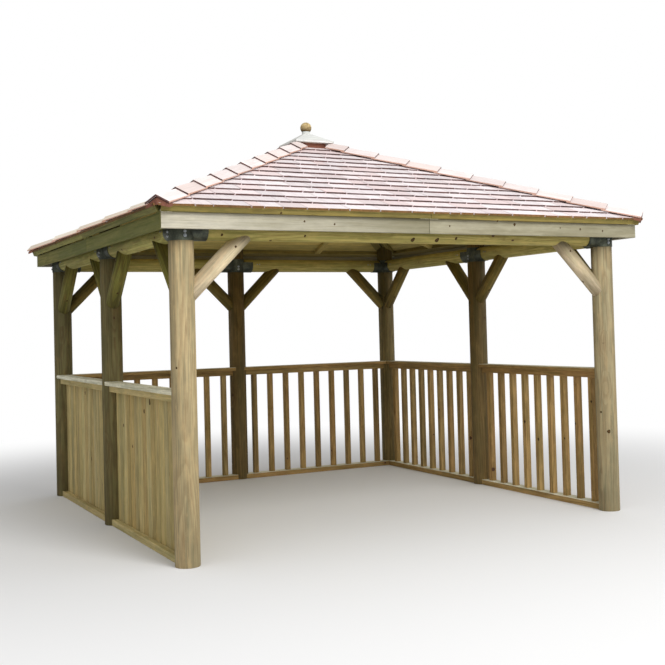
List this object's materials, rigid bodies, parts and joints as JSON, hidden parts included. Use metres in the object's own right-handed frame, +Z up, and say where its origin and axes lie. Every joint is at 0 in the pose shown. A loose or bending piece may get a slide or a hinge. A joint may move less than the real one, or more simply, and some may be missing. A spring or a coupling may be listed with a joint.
{
  "type": "garden gazebo",
  "caption": "Square timber garden gazebo with round posts, a shingled hip roof, railed sides and an open front.",
  "frame": {"origin": "middle of the square plan at ground level", "axes": "+Z up, the open front faces -Y, +X to the right seen from the front"},
  "size_m": [3.8394, 3.8394, 3.1107],
  "materials": {
    "post_timber": "round machined softwood, weathered, matt",
    "beam_timber": "round machined softwood, matt",
    "brace_timber": "round machined softwood, matt",
    "rail_timber": "planed softwood with knots, matt",
    "boarding_timber": "planed softwood boards, greenish, matt",
    "fascia_timber": "planed softwood, pale, matt",
    "roof_timber": "sawn softwood boards and framing, matt",
    "cedar_shingle": "sawn cedar shingles, weathered pink brown",
    "cap_timber": "planed softwood, pale",
    "finial_timber": "turned softwood",
    "galvanised_steel": "dull galvanised"
  },
  "bodies": {
    "root": {"balustrade_back_left": "rail_timber", "balustrade_back_right": "rail_timber", "balustrade_right_back": "rail_timber", "balustrade_right_front": "rail_timber", "beam_front": "beam_timber", "beams_back": "beam_timber", "beams_left": "beam_timber", "beams_right": "beam_timber", "boarding_left_back": "boarding_timber", "boarding_left_front": "boarding_timber", "braces_back": "brace_timber", "braces_front": "brace_timber", "braces_left": "brace_timber", "braces_right": "brace_timber", "bracket_back": "galvanised_steel", "bracket_back_left": "galvanised_steel", "bracket_back_right": "galvanised_steel", "bracket_front_left": "galvanised_steel", "bracket_front_right": "galvanised_steel", "bracket_left": "galvanised_steel", "bracket_right": "galvanised_steel", "fascia_back": "fascia_timber", "fascia_front": "fascia_timber", "fascia_left": "fascia_timber", "fascia_right": "fascia_timber", "finial": "finial_timber", "hip_caps": "cedar_shingle", "post_back": "post_timber", "post_back_left": "post_timber", "post_back_right": "post_timber", "post_front_left": "post_timber", "post_front_right": "post_timber", "post_left": "post_timber", "post_right": "post_timber", "roof_cap": "cap_timber", "roof_panels_back": "roof_timber", "roof_panels_front": "roof_timber", "roof_panels_left": "roof_timber", "roof_panels_right": "roof_timber", "shingles_back": "cedar_shingle", "shingles_front": "cedar_shingle", "shingles_left": "cedar_shingle", "shingles_right": "cedar_shingle"}
  },
  "joints": []
}
